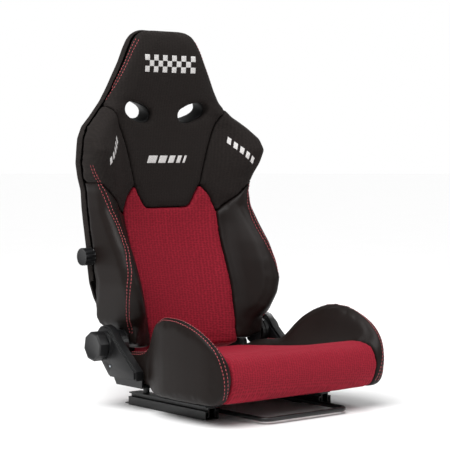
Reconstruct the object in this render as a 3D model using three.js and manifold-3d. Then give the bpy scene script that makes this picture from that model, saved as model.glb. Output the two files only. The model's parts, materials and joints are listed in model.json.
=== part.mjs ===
// Reclining sport seat on a pair of floor sliders.
//
// Millimetres, +Z up, the seat faces -Y and the sitter's right hand is at -X.
// While it is laid out, x = 0 is the seat's mid-plane and z = 0 the floor;
// the finished group is then moved so that the origin is under the middle of its bounding box.

import * as THREE from "three";
import { mergeVertices } from "three/addons/utils/BufferGeometryUtils.js";
import Module from "manifold-3d";

const wasm = await Module();
wasm.setup();

// ---------------------------------------------------------------- driving dimensions

const GAP = 0.4; // clearance between parts that touch
const SIDES = { right: -1, left: 1 }; // the sitter's right and left

const RAIL = {
  x: 180, // centre of each slider from the mid-plane
  halfWidth: 20,
  front: -254,
  rear: 54,
  lowerHeight: 21,
  topZ: 32,
  wall: 2.5,
  lip: 8,
  rackFlange: 12,
};
const SPACER = { frontY: -226, rearY: 6, radius: 8, top: 50 };
const RECLINE_AXIS = { y: 62, z: 152 };
const LUMBAR_AXIS = { y: 144, z: 367 };
const HANDLE_AXIS = { y: -90, z: 12 };
const HANDLE = { halfWidth: 130, frontY: -388, radius: 5.5, corner: 22 };
const BRACKET_X = { lower: 238, upper: 213 }; // inner faces of the recliner plates
const PLATE = 4; // thickness of the recliner plates
const COVER = { inner: 244, outer: 268, boss: 275 };
const COVER_WALL = 3;
const CAVITY = 32; // depth of the space for the frame behind the back pads
const SHELL = 4; // wall of the back cover
const TUBE_R = 10;
const HARNESS = { x: 89, z: 731, halfWidth: 45, halfHeight: 21, tilt: 0.3, rise: 0.2 };

// ---------------------------------------------------------------- materials

const material = (hex, roughness, metalness = 0) =>
  new THREE.MeshStandardMaterial({ color: hex, roughness, metalness });
const BLACK_CLOTH = material(0x1f1c1b, 0.9);
const RED_CLOTH = material(0x8f1d2e, 0.9);
const BLACK_PLASTIC = material(0x19191a, 0.5);
const BLACK_PAINT = material(0x121212, 0.45, 0.3);
const ZINC = material(0xb9c0c8, 0.35, 1);
const STEEL = material(0x77797c, 0.4, 1);

// ---------------------------------------------------------------- shape helpers

// A smooth curve through [position, value] pairs that never overshoots them.
function curve(pairs) {
  const n = pairs.length;
  const h = [];
  const d = [];
  for (let i = 0; i < n - 1; i++) {
    h.push(pairs[i + 1][0] - pairs[i][0]);
    d.push((pairs[i + 1][1] - pairs[i][1]) / h[i]);
  }
  const m = pairs.map((_, i) => {
    if (i === 0) return d[0];
    if (i === n - 1) return d[n - 2];
    if (d[i - 1] * d[i] <= 0) return 0;
    const a = 2 * h[i] + h[i - 1];
    const b = h[i] + 2 * h[i - 1];
    return (a + b) / (a / d[i - 1] + b / d[i]);
  });
  return (at) => {
    if (at <= pairs[0][0]) return pairs[0][1];
    if (at >= pairs[n - 1][0]) return pairs[n - 1][1];
    let i = 0;
    while (at > pairs[i + 1][0]) i++;
    const t = (at - pairs[i][0]) / h[i];
    const u = 1 - t;
    return (
      pairs[i][1] * (1 + 2 * t) * u * u +
      m[i] * h[i] * t * u * u +
      pairs[i + 1][1] * t * t * (3 - 2 * t) -
      m[i + 1] * h[i] * t * t * u
    );
  };
}

const ease = (t) => t * t * (3 - 2 * t);
const mix = (a, b, t) => a + (b - a) * t;

// A three.js geometry as a manifold-3d solid.
function solid(geometry) {
  const bare = geometry.clone();
  bare.deleteAttribute("normal");
  bare.deleteAttribute("uv");
  const merged = mergeVertices(bare, 1e-3);
  return new wasm.Manifold(
    new wasm.Mesh({
      numProp: 3,
      vertProperties: merged.attributes.position.array,
      triVerts: new Uint32Array(merged.index.array),
    }),
  );
}

function geometryOf(body) {
  const made = body.getMesh();
  const geometry = new THREE.BufferGeometry();
  geometry.setAttribute("position", new THREE.BufferAttribute(made.vertProperties, 3));
  geometry.setIndex(new THREE.BufferAttribute(made.triVerts, 1));
  geometry.computeVertexNormals();
  return geometry;
}

function box(x, y, z) {
  const geometry = new THREE.BoxGeometry(x[1] - x[0], y[1] - y[0], z[1] - z[0]);
  geometry.translate((x[0] + x[1]) / 2, (y[0] + y[1]) / 2, (z[0] + z[1]) / 2);
  return solid(geometry);
}

// A round bar along X, or along Z.
function barX(x, y, z, radius, sides = 20, endRadius = radius) {
  const geometry = new THREE.CylinderGeometry(endRadius, radius, x[1] - x[0], sides);
  geometry.rotateZ(-Math.PI / 2);
  geometry.translate((x[0] + x[1]) / 2, y, z);
  return solid(geometry);
}
function barZ(x, y, z, radius, sides = 20) {
  const geometry = new THREE.CylinderGeometry(radius, radius, z[1] - z[0], sides);
  geometry.rotateX(Math.PI / 2);
  geometry.translate(x, y, (z[0] + z[1]) / 2);
  return solid(geometry);
}

// An outline of [across, up] points pushed along an axis: "x" takes [y, z], "y" takes [x, z], "z" takes [x, y].
function prism(outline, axis, from, to) {
  const points = outline.map(([a, b]) => new THREE.Vector2(a, b));
  const depth = to - from;
  const geometry = new THREE.ExtrudeGeometry(new THREE.Shape(points), {
    depth,
    bevelEnabled: false,
  });
  if (axis === "z") geometry.translate(0, 0, from);
  if (axis === "y") {
    geometry.rotateX(Math.PI / 2);
    geometry.translate(0, from + depth, 0);
  }
  if (axis === "x") {
    geometry.applyMatrix4(
      new THREE.Matrix4().set(0, 0, 1, from, 1, 0, 0, 0, 0, 1, 0, 0, 0, 0, 0, 1),
    );
  }
  return solid(geometry);
}

// A round tube through a list of [x, y, z] points.
function tube(points, radius, steps, sides = 10) {
  const path = new THREE.CatmullRomCurve3(
    points.map((p) => new THREE.Vector3(...p)),
    false,
    "centripetal",
  );
  const section = new THREE.Shape();
  for (let i = 0; i < sides; i++) {
    const angle = (2 * Math.PI * i) / sides;
    section[i ? "lineTo" : "moveTo"](radius * Math.cos(angle), radius * Math.sin(angle));
  }
  return solid(
    new THREE.ExtrudeGeometry(section, { steps, bevelEnabled: false, extrudePath: path }),
  );
}

// A closed solid through rings of points that all have the same count.
// flat(point) gives the two coordinates in which the end rings are filled.
function loft(rings, flat) {
  const count = rings[0].length;
  const positions = rings.flat(2);
  const index = [];
  for (let r = 0; r < rings.length - 1; r++) {
    for (let i = 0; i < count; i++) {
      const j = (i + 1) % count;
      const a = r * count + i;
      const b = r * count + j;
      index.push(a, b, b + count, a, b + count, a + count);
    }
  }
  const fill = (ring, start, against) => {
    const outline = ring.map((p) => new THREE.Vector2(...flat(p)));
    const centre = new THREE.Box2().setFromPoints(outline).getCenter(new THREE.Vector2());
    // Bowed by a hair: points that lie exactly in line would be left out of the filling.
    for (const p of outline) p.sub(centre).multiplyScalar(1 - 1e-8 * p.lengthSq());
    const faces = THREE.ShapeUtils.triangulateShape(outline, []);
    const along = faces.some(([a, b, c]) => b === a + 1 || c === b + 1 || a === c + 1);
    for (const [a, b, c] of faces) {
      index.push(start + a, start + (along === against ? c : b), start + (along === against ? b : c));
    }
  };
  fill(rings[0], 0, true);
  fill(rings[rings.length - 1], (rings.length - 1) * count, false);
  const geometry = new THREE.BufferGeometry();
  geometry.setAttribute("position", new THREE.Float32BufferAttribute(positions, 3));
  geometry.setIndex(index);
  return solid(geometry);
}

// Both halves of a symmetric ring from its right-hand half, which runs from the mid-plane round to it again.
const bothHalves = (half) => [
  ...half,
  ...half
    .slice(1, -1)
    .reverse()
    .map(([x, ...rest]) => [-x, ...rest]),
];

const mirrored = (body) => body.mirror([1, 0, 0]);
const onSide = (side, body) => (SIDES[side] < 0 ? mirrored(body) : body);

const seat = new THREE.Group();
function add(name, body, finish) {
  const mesh = new THREE.Mesh(geometryOf(body), finish);
  mesh.name = name;
  seat.add(mesh);
}

// ---------------------------------------------------------------- backrest form, by height z

const backWidth = curve([
  [140, 192], [192, 206], [225, 222], [262, 238], [319, 249], [400, 247], [460, 242], [514, 241],
  [560, 251], [600, 268], [634, 278], [664, 272], [692, 247], [722, 211], [757, 183], [815, 153],
  [866, 127], [904, 110], [928, 93], [939, 77], [944, 62],
]);
const backFront = curve([
  [140, 47], [200, 62], [266, 84], [330, 108], [385, 130], [440, 148], [484, 158], [543, 164],
  [611, 163], [680, 165], [734, 165], [800, 155], [859, 147], [905, 148], [930, 155], [944, 168],
]);
const backRear = curve([
  [140, 146], [190, 153], [258, 161], [392, 180], [487, 208], [560, 210], [600, 194], [634, 173],
  [664, 178], [700, 206], [731, 217], [800, 210], [880, 206], [930, 208], [944, 206],
]);
// How far the middle of the back stands behind its sides.
const backBulge = curve([
  [140, 10], [392, 20], [560, 18], [600, 30], [634, 49], [664, 42], [700, 12], [731, 1],
  [800, 8], [944, 12],
]);
const crestForward = curve([
  [140, 16], [187, 40], [225, 84], [262, 108], [319, 122], [385, 114], [450, 86], [514, 60],
  [570, 68], [627, 90], [668, 74], [712, 40], [757, 12], [815, 2], [944, 0],
]);
const seamForward = curve([[140, 10], [300, 20], [540, 16], [700, 14], [800, 8], [944, 2]]);
const seamAcross = curve([
  [140, 138], [266, 147], [385, 150], [469, 153], [543, 120], [635, 134], [705, 150], [757, 120],
  [866, 80], [944, 24],
]);
const crestRound = curve([[140, 20], [320, 24], [514, 18], [640, 24], [760, 22], [900, 26], [944, 14]]);

const behind = (x, z) => backRear(z) + backBulge(z) * (1 - (x / backWidth(z)) ** 2);
const padBack = (x, z) => {
  const normal = behind(x, z) - CAVITY;
  const thinnest = frontAt(x, z) + 8;
  return Math.max(normal, Math.min(thinnest, behind(x, z) - 8));
};

// The front surface's y at a point across the back, as far out as the crest of the bolster.
function frontAt(x, z) {
  const seam = seamAcross(z);
  const crest = backWidth(z) - crestRound(z);
  const across = Math.min(Math.abs(x), crest);
  if (across <= seam) return backFront(z) - seamForward(z) * (across / seam) ** 2;
  const share = (across - seam) / (crest - seam);
  return backFront(z) - mix(seamForward(z), crestForward(z), ease(share));
}

const BACK_HEIGHTS = [
  140, 165, 192, 225, 262, 300, 345, 392, 440, 487, 530, 565, 600, 634, 664, 692, 722, 757,
  790, 825, 860, 895, 918, 932, 940, 944,
];

// Half of the pads' section at height z, from the mid-plane's front round to its back.
function padSection(z) {
  const half = [];
  const seam = seamAcross(z);
  const width = backWidth(z);
  const round = crestRound(z);
  const crest = width - round;
  for (let i = 0; i <= 4; i++) half.push([(seam * i) / 4, frontAt((seam * i) / 4, z), z]);
  for (let i = 1; i <= 6; i++) {
    const x = mix(seam, crest, i / 6);
    half.push([x, frontAt(x, z), z]);
  }
  const crestY = frontAt(crest, z);
  const rearY = padBack(width, z);
  const turn = Math.min(round * 1.3, rearY - crestY - 2);
  for (let i = 1; i <= 4; i++) {
    const angle = (Math.PI / 2) * (i / 4);
    half.push([crest + round * Math.sin(angle), crestY + turn * (1 - Math.cos(angle)), z]);
  }
  half.push([width, mix(crestY + turn, rearY, 0.6), z]);
  for (let i = 0; i <= 5; i++) {
    const x = width * (1 - i / 5);
    half.push([x, padBack(x, z), z]);
  }
  return half;
}

const reversed = (ring) => [ring[0], ...ring.slice(1).reverse()];
const padBlock = loft(
  BACK_HEIGHTS.map((z) => bothHalves(padSection(z))),
  ([x, y]) => [x, y],
);

// Half of the back cover's section: its side wall and its back, pulled in by inset.
function coverSection(z, inset, forward) {
  const width = backWidth(z) - inset;
  const half = [];
  for (let i = 0; i <= 5; i++) {
    const x = (width * i) / 5;
    half.push([x, padBack(x, z) + forward, z]);
  }
  const corner = Math.max(2, Math.min(14, behind(width, z) - padBack(width, z) - 4) - inset);
  const rear = (x) => behind(x, z) - inset;
  for (let i = 0; i <= 3; i++) {
    const angle = (Math.PI / 2) * (i / 3);
    const x = width - corner * (1 - Math.cos(angle));
    half.push([x, rear(width - corner) - corner * (1 - Math.sin(angle)), z]);
  }
  for (let i = 1; i <= 4; i++) {
    const x = (width - corner) * (1 - i / 4);
    half.push([x, rear(x), z]);
  }
  return half;
}
const COVER_HEIGHTS = BACK_HEIGHTS.filter((z) => z >= 165 && z <= 940);
const COVER_TOP = 944;
const coverBlock = loft(
  [...COVER_HEIGHTS, COVER_TOP].map((z) => bothHalves(coverSection(z, 0, z > 900 ? 3 : 1.2))),
  ([x, y]) => [x, y],
);
const cavityBlock = loft(
  COVER_HEIGHTS.filter((z) => z < 935).map((z, i) =>
    bothHalves(coverSection(z, SHELL, -14)).map(([x, y]) => [x, y, i ? z : z + SHELL]),
  ),
  ([x, y]) => [x, y],
);

// ---------------------------------------------------------------- backrest panels

// Outlines in [x, z] for the sitter's left; the seams between the panels.
const SPIKE = [106, 543];
const WING_SEAM_LOW = [152, 470];
const WING_SEAM_HIGH = [300, 604];
const NECK = [193, 748];
const BEYOND = 400;

function spline(points, steps) {
  return new THREE.SplineCurve(points.map((p) => new THREE.Vector2(...p)))
    .getPoints(steps)
    .map((p) => [p.x, p.y]);
}
const innerSeam = spline([[138, 120], [147, 266], [150, 385], WING_SEAM_LOW], 8);
const insertShoulder = spline([WING_SEAM_LOW, [140, 503], [124, 526], SPIKE], 5);
const panelSide = spline([SPIKE, [118, 590], [134, 645], [160, 707], NECK, [250, 800]], 8);
const panelFoot = [[70 + 8, 484 + 12], [70 + 2, 484 + 3], [70 - 8, 484]];

const flipX = (points) => points.map(([x, z]) => [-x, z]).reverse();
const insertHalf = [...innerSeam, ...insertShoulder.slice(1), ...panelFoot];
const insertOutline = [...insertHalf, ...flipX(insertHalf)];
const panelHalf = [[0, 484], ...panelFoot.slice().reverse(), ...panelSide, [250, 1000]];
const panelOutline = [...panelHalf, ...flipX(panelHalf.slice(1))];
const wingOutline = [
  ...insertShoulder,
  ...panelSide.slice(1),
  [BEYOND, 800],
  [BEYOND, 694.5],
  WING_SEAM_HIGH,
];
const bolsterOutline = [...innerSeam, WING_SEAM_HIGH, [BEYOND, 694.5], [BEYOND, 120]];

// An outline pulled in by half the gap, so that neighbouring panels never touch.
function pulledIn(outline, by = GAP / 2) {
  const area = THREE.ShapeUtils.area(outline.map(([a, b]) => new THREE.Vector2(a, b)));
  const ring = area > 0 ? outline : outline.slice().reverse();
  return ring.map((p, i) => {
    const before = ring[(i + ring.length - 1) % ring.length];
    const after = ring[(i + 1) % ring.length];
    const inward = ([a, b], [c, d]) => {
      const length = Math.hypot(c - a, d - b);
      return [-(d - b) / length, (c - a) / length];
    };
    const one = inward(before, p);
    const two = inward(p, after);
    const facing = 1 + one[0] * two[0] + one[1] * two[1];
    return [p[0] + (by * (one[0] + two[0])) / facing, p[1] + (by * (one[1] + two[1])) / facing];
  });
}
const panel = (outline) => prism(pulledIn(outline), "y", -100, 400);

// The belt openings: slanted, rounded slots that rise a little towards the back.
function harnessSlot(halfWidth, halfHeight, fromY, toY, sides = 20) {
  const ring = (y) => {
    const points = [];
    for (let i = 0; i < sides; i++) {
      const angle = (2 * Math.PI * i) / sides;
      const across = halfWidth * Math.sign(Math.cos(angle)) * Math.abs(Math.cos(angle)) ** 0.8;
      const up = halfHeight * Math.sign(Math.sin(angle)) * Math.abs(Math.sin(angle)) ** 0.8;
      points.push([
        HARNESS.x + across * Math.cos(HARNESS.tilt) - up * Math.sin(HARNESS.tilt),
        y,
        HARNESS.z + across * Math.sin(HARNESS.tilt) + up * Math.cos(HARNESS.tilt)
          + (y - 165) * HARNESS.rise,
      ]);
    }
    return points.reverse();
  };
  return loft([ring(fromY), ring(toY)], ([x, , z]) => [z, x]);
}

// Everything that has to stay clear inside the pads.
const upperBracketOutline = [
  ...[-150, -115, -80, -45, -10, 25].map((degrees) => {
    const angle = (degrees * Math.PI) / 180;
    return [RECLINE_AXIS.y + 34 * Math.cos(angle), RECLINE_AXIS.z + 34 * Math.sin(angle)];
  }),
  [128, 215],
  [149, 300],
  [119, 306],
  [88, 226],
  [34, 178],
];
const bracketRoom = prism(pulledIn(upperBracketOutline, -3), "x", BRACKET_X.upper - 3, 400);
const shaftRoom = barX([-230, 230], RECLINE_AXIS.y, RECLINE_AXIS.z, 8, 14);
const lumbarRoom = barX([-400, 90], LUMBAR_AXIS.y, LUMBAR_AXIS.z, 7, 12).add(
  barX([-90, 90], LUMBAR_AXIS.y, LUMBAR_AXIS.z, 14.5, 20),
);
const sleeveRoom = harnessSlot(
  HARNESS.halfWidth + 4 + GAP,
  HARNESS.halfHeight + 4 + GAP,
  178,
  300,
);
const slotThrough = harnessSlot(HARNESS.halfWidth + 2, HARNESS.halfHeight + 2, 0, 300);
const holes = (body) =>
  body.subtract(slotThrough).subtract(mirrored(slotThrough)).subtract(sleeveRoom)
    .subtract(mirrored(sleeveRoom));

const backClear = padBlock
  .subtract(bracketRoom)
  .subtract(mirrored(bracketRoom))
  .subtract(shaftRoom)
  .subtract(lumbarRoom);

add("back_insert", backClear.intersect(panel(insertOutline)), RED_CLOTH);
add("head_and_chest_panel", holes(backClear.intersect(panel(panelOutline))), BLACK_CLOTH);
for (const side in SIDES) {
  const place = (outline) => onSide(side, panel(outline));
  add(`shoulder_wing_${side}`, holes(backClear.intersect(place(wingOutline))), BLACK_CLOTH);
  add(`back_bolster_${side}`, backClear.intersect(place(bolsterOutline)), BLACK_CLOTH);
}
const sleeveShape = harnessSlot(HARNESS.halfWidth + 4, HARNESS.halfHeight + 4, 179, 252)
  .subtract(harnessSlot(HARNESS.halfWidth, HARNESS.halfHeight, 150, 300));

add(
  "back_cover",
  holes(coverBlock.subtract(cavityBlock))
    .subtract(bracketRoom)
    .subtract(mirrored(bracketRoom))
    .subtract(lumbarRoom.subtract(box([-220, 200], [0, 400], [0, 900]))),
  BLACK_CLOTH,
);
const rearLimit = loft(
  [680, 722, 757, 800].map((z) =>
    bothHalves([[0, 100, z], [230, 100, z], [230, behind(170, z) - 3, z], [120, behind(120, z) + 3, z],
      [60, behind(60, z) + 3, z], [0, behind(0, z) + 3, z]]),
  ),
  ([x, y]) => [x, y],
);
for (const side in SIDES) {
  add(`harness_sleeve_${side}`, onSide(side, sleeveShape.intersect(rearLimit)), BLACK_PLASTIC);
}

// ---------------------------------------------------------------- backrest frame

const frameY = (x, z) => behind(x, z) - CAVITY / 2 - 3;
const sideTubeX = (z) => Math.min(196, backWidth(z) - SHELL - TUBE_R - 16);
const sideTubePoints = [216, 262, 330, 400, 470, 540, 600, 634, 652].map((z) => {
  const x = sideTubeX(z);
  return [x, frameY(x, z), z];
});
for (const side in SIDES) {
  const points = sideTubePoints.map(([x, y, z]) => [x * SIDES[side], y, z]);
  const sideTube = tube(points, TUBE_R, 16).subtract(
    barX([-400, 0], LUMBAR_AXIS.y, LUMBAR_AXIS.z, 4.6, 12),
  );
  add(`back_side_tube_${side}`, sideTube, BLACK_PAINT);
}
const hoopHalf = [[196, 664], [186, 700], [160, 752], [134, 806], [106, 862], [84, 888], [56, 897]];
const hoopPoints = [...hoopHalf, ...flipX(hoopHalf)].map(([x, z]) => [x, frameY(x, z), z]);
add("head_hoop", tube(hoopPoints, TUBE_R - 1, 36), BLACK_PAINT);
const crossTube = (z, radius) => {
  const reach = sideTubeX(z - 14) - TUBE_R - 6;
  const points = [-1, -0.5, 0, 0.5, 1].map((t) => [t * reach, frameY(t * reach, z), z]);
  return tube(points, radius, 6);
};
add("back_cross_tube_lower", crossTube(236, 8), BLACK_PAINT);
add("back_cross_tube_upper", crossTube(600, 8), BLACK_PAINT);

// ---------------------------------------------------------------- recliner

const lowerBracketOutline = [
  [-60, 56], [46, 56], [84, 110], [98, 140], [95, 168], [78, 186], [54, 190], [38, 178], [-60, 98],
];
const coverOutline = [
  [-66, 77], [44, 77], [78, 112], [96, 135], [104, 158], [98, 182], [84, 197], [64, 202],
  [46, 197], [32, 184], [18, 168], [-66, 99],
];
const reclineX = (x, radius, sides) => barX(x, RECLINE_AXIS.y, RECLINE_AXIS.z, radius, sides);
const lowerBracket = prism(lowerBracketOutline, "x", BRACKET_X.lower, BRACKET_X.lower + PLATE)
  .add(box([196, BRACKET_X.lower + 1], [-60, 40], [56, 56 + PLATE]))
  .subtract(reclineX([200, 300], 9, 16));
const upperBracket = prism(upperBracketOutline, "x", BRACKET_X.upper, BRACKET_X.upper + PLATE)
  .subtract(reclineX([200, 300], 9, 16));
const upperFace = BRACKET_X.upper + PLATE;
const innerDisc = reclineX([upperFace + GAP, upperFace + 10], 36, 28)
  .subtract(reclineX([200, 300], 9, 16));
const outerDisc = reclineX([upperFace + 10 + GAP, BRACKET_X.lower - GAP], 38, 28)
  .subtract(reclineX([200, 300], 9, 16));
const coverShell = prism(coverOutline, "x", COVER.inner, COVER.outer - 5)
  .add(prism(pulledIn(coverOutline, 4), "x", COVER.outer - 6, COVER.outer))
  .subtract(prism(pulledIn(coverOutline, COVER_WALL), "x", COVER.inner - 1, COVER.outer - 8))
  .subtract(prism(pulledIn(coverOutline, 7), "x", COVER.inner, COVER.outer - COVER_WALL))
  .add(reclineX([COVER.outer - 1, COVER.boss], 35, 32))
  .subtract(reclineX([200, 300], 16, 20));
const SCREW = { y: 36, z: 104 };
const screwHole = barX([COVER.outer - 12, 300], SCREW.y, SCREW.z, 4, 12);
const screwPost = barX([BRACKET_X.lower + PLATE + GAP, COVER.outer - 2], SCREW.y, SCREW.z, 8, 16);
const bossCap = reclineX([COVER.outer - COVER_WALL, COVER.boss + 3], 30, 32);
for (const side in SIDES) {
  add(`recliner_lower_bracket_${side}`, onSide(side, lowerBracket), BLACK_PAINT);
  add(`recliner_upper_bracket_${side}`, onSide(side, upperBracket), BLACK_PAINT);
  add(`recliner_inner_disc_${side}`, onSide(side, innerDisc), STEEL);
  add(`recliner_outer_disc_${side}`, onSide(side, outerDisc), STEEL);
  const shell = coverShell.add(screwPost).subtract(screwHole);
  const finished = side === "left" ? shell.add(bossCap) : shell;
  add(`recliner_cover_${side}`, onSide(side, finished), BLACK_PLASTIC);
  const screw = barX([COVER.outer - 11.5, COVER.outer + 1], SCREW.y, SCREW.z, 3.4, 12).subtract(
    box([COVER.outer - 1.5, 300], [SCREW.y - 0.7, SCREW.y + 0.7], [SCREW.z - 2.4, SCREW.z + 2.4]),
  );
  add(`cover_screw_${side}`, onSide(side, screw), ZINC);
}
// The knob is an eight-sided dial; its hub reaches through the cover to the shaft.
const KNOB = { inner: 277, outer: 303, radius: 37 };
const dial = reclineX([KNOB.inner, KNOB.outer - 5], KNOB.radius, 8).add(
  barX([KNOB.outer - 5, KNOB.outer], RECLINE_AXIS.y, RECLINE_AXIS.z, KNOB.radius, 8, KNOB.radius - 5),
);
const hub = reclineX([COVER.outer - 14, KNOB.inner + 1], 14, 20);
const shaftBore = reclineX([200, KNOB.outer - 8], 5.4, 12);
add("recline_knob", mirrored(dial.add(hub).subtract(shaftBore)), BLACK_PLASTIC);
add("recline_shaft", reclineX([-(KNOB.outer - 9), COVER.inner], 5, 12), STEEL);

// ---------------------------------------------------------------- lumbar adjuster

const lumbarX = (x, radius, sides, end) => barX(x, LUMBAR_AXIS.y, LUMBAR_AXIS.z, radius, sides, end);
const LUMBAR_KNOB = { inner: 250, outer: 278, radius: 22, grooves: 12 };
let lumbarKnob = lumbarX([LUMBAR_KNOB.inner, LUMBAR_KNOB.outer - 3], LUMBAR_KNOB.radius, 30).add(
  lumbarX([LUMBAR_KNOB.outer - 3, LUMBAR_KNOB.outer], LUMBAR_KNOB.radius, 30, LUMBAR_KNOB.radius - 3),
);
for (let i = 0; i < LUMBAR_KNOB.grooves; i++) {
  const angle = (2 * Math.PI * i) / LUMBAR_KNOB.grooves;
  const out = LUMBAR_KNOB.radius + 1;
  lumbarKnob = lumbarKnob.subtract(
    barX(
      [LUMBAR_KNOB.inner + 5, 300],
      LUMBAR_AXIS.y + out * Math.cos(angle),
      LUMBAR_AXIS.z + out * Math.sin(angle),
      2.6,
      8,
    ),
  );
}
add("lumbar_knob", mirrored(lumbarKnob.subtract(lumbarX([200, 268], 4.4, 12))), BLACK_PLASTIC);
add("lumbar_shaft", lumbarX([-267, 74], 4, 12), STEEL);
const paddleOutline = [[-7, -7], [7, -7], [6, 6], [3, 13], [-3, 13], [-6, 6]];
const paddle = prism(
  paddleOutline.map(([y, z]) => [y + LUMBAR_AXIS.y, z + LUMBAR_AXIS.z]),
  "x",
  -70,
  70,
).subtract(lumbarX([-200, 200], 4.4, 12));
add("lumbar_paddle", paddle, BLACK_PLASTIC);

// ---------------------------------------------------------------- seat cushion form, by distance y

const seatTop = curve([
  [-392, 112], [-386, 134], [-374, 152], [-357, 162], [-330, 164], [-290, 157], [-240, 148],
  [-150, 138], [-50, 130], [48, 122],
]);
const seatFoot = curve([
  [-392, 106], [-386, 82], [-376, 64], [-362, 52], [-350, 50], [-100, 50], [-84, 62], [48, 62],
]);
const thighTop = curve([
  [-392, 128], [-389, 148], [-380, 168], [-365, 187], [-345, 203], [-312, 222], [-268, 238],
  [-230, 245], [-188, 245], [-150, 234], [-105, 205], [-85, 180], [-67, 158], [-45, 146],
  [-20, 142], [48, 137],
]);
const thighFoot = curve([
  [-392, 116], [-388, 92], [-378, 70], [-362, 56], [-345, 50], [-100, 50], [-84, 62], [48, 62],
]);
const seatWidth = curve([
  [-392, 252], [-386, 257], [-370, 264], [-330, 271], [-250, 274], [-188, 272], [-140, 262],
  [-105, 247], [-67, 233], [-40, 231], [48, 230],
]);
const seatSeam = curve([
  [-392, 229], [-350, 227], [-300, 216], [-250, 200], [-200, 186], [-100, 168], [48, 158],
]);
const SEAT_STATIONS = [
  -392, -389, -384, -377, -366, -350, -330, -300, -270, -240, -212, -185, -158, -132, -112, -95,
  -80, -67, -45, -20, 14, 48,
];
function seatTopAt(x, y) {
  const seam = seatSeam(y);
  const crest = seatWidth(y) - 12;
  const across = Math.min(Math.abs(x), crest);
  if (across <= seam) return seatTop(y);
  return mix(seatTop(y), thighTop(y), ease((across - seam) / Math.max(crest - seam, 1)));
}
function cushionSection(y) {
  const half = [];
  const seam = seatSeam(y);
  const width = seatWidth(y);
  const crest = Math.max(width - 12, seam + 2);
  for (let i = 0; i <= 4; i++) half.push([(seam * i) / 4, y, seatTopAt((seam * i) / 4, y)]);
  for (let i = 1; i <= 5; i++) {
    const x = mix(seam, crest, i / 5);
    half.push([x, y, seatTopAt(x, y)]);
  }
  const top = seatTopAt(crest, y);
  const foot = thighFoot(y);
  const turn = Math.min(16, (top - foot) * 0.4);
  for (let i = 1; i <= 3; i++) {
    const angle = (Math.PI / 2) * (i / 3);
    half.push([crest + (width - crest) * Math.sin(angle), y, top - turn * (1 - Math.cos(angle))]);
  }
  half.push([width, y, mix(top - turn, foot, 0.5)]);
  half.push([width - 1, y, foot + 5 * ((top - foot) / 100)]);
  half.push([width - 7, y, foot]);
  half.push([seam, y, Math.min(mix(seatFoot(y), foot, 0.6), seatTopAt(seam, y) - 5)]);
  half.push([seam * 0.6, y, seatFoot(y)]);
  half.push([0, y, seatFoot(y)]);
  return half;
}
const cushionBlock = loft(
  SEAT_STATIONS.map((y) => bothHalves(cushionSection(y))),
  ([x, , z]) => [z, x],
);
// Room under the foam for the steel pan, its side members and the cross tubes.
const panRoom = box([-216, 216], [-336, 300], [0, 88]);
const discRoom = barX([208, 300], RECLINE_AXIS.y, RECLINE_AXIS.z, 43, 28);
const cushionClear = cushionBlock.subtract(panRoom).subtract(discRoom).subtract(mirrored(discRoom));
const seatSeamLine = [-430, -392, -350, -300, -250, -200, -100, 0, 80].map((y) => [seatSeam(y), y]);
const seatCentreOutline = [...seatSeamLine, ...flipX(seatSeamLine)];
const thighOutline = [...seatSeamLine, [BEYOND, 80], [BEYOND, -430]];
const down = (outline) => prism(pulledIn(outline), "z", 0, 300);
add("seat_centre_cushion", cushionClear.intersect(down(seatCentreOutline)), RED_CLOTH);
for (const side in SIDES) {
  add(`thigh_bolster_${side}`, cushionClear.intersect(onSide(side, down(thighOutline))), BLACK_CLOTH);
}

// ---------------------------------------------------------------- seat base frame

const MEMBER = { inner: 166, outer: 195, front: -326, rear: 40, bottom: SPACER.top + GAP, top: 80 };
const BOLT_R = 4;
const spacerYs = { front: SPACER.frontY, rear: SPACER.rearY };
for (const side in SIDES) {
  const x = RAIL.x * SIDES[side];
  const xs = [MEMBER.inner, MEMBER.outer];
  let member = box(xs, [MEMBER.front, MEMBER.rear], [MEMBER.bottom, MEMBER.top]).subtract(
    box([xs[0] + 3, xs[1] - 3], [MEMBER.front - 1, MEMBER.rear + 1], [MEMBER.bottom + 3, MEMBER.top - 3]),
  );
  for (const end in spacerYs) {
    member = member.subtract(barZ(RAIL.x, spacerYs[end], [0, MEMBER.bottom + 5], BOLT_R + 0.4, 12));
    member = member.subtract(barZ(RAIL.x, spacerYs[end], [MEMBER.top - 5, 200], 10, 16));
    const spacer = barZ(x, spacerYs[end], [RAIL.topZ + GAP, SPACER.top], SPACER.radius, 20)
      .subtract(barZ(x, spacerYs[end], [0, 100], BOLT_R + 0.4, 12));
    add(`spacer_${end}_${side}`, spacer, end === "front" ? ZINC : BLACK_PAINT);
    const bolt = barZ(x, spacerYs[end], [RAIL.topZ - 4, MEMBER.bottom + 9], BOLT_R, 12).add(
      barZ(x, spacerYs[end], [MEMBER.bottom + 3 + GAP, MEMBER.bottom + 9], 7, 6),
    );
    add(`mount_bolt_${end}_${side}`, bolt, ZINC);
  }
  add(`base_side_member_${side}`, onSide(side, member), BLACK_PAINT);
}
for (const [end, y] of [["front", -306], ["rear", 18]]) {
  const reach = MEMBER.inner - GAP;
  add(`base_cross_tube_${end}`, barX([-reach, reach], y, 66, 10, 16), BLACK_PAINT);
}
let pan = box([-194, 194], [-330, 44], [MEMBER.top + GAP, MEMBER.top + GAP + 2.4]);
for (const x of [-96, 0, 96]) {
  pan = pan.subtract(box([x - 30, x + 30], [-262, -60], [0, 200]));
}
add("seat_pan", pan, BLACK_PAINT);

// ---------------------------------------------------------------- sliders

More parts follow.
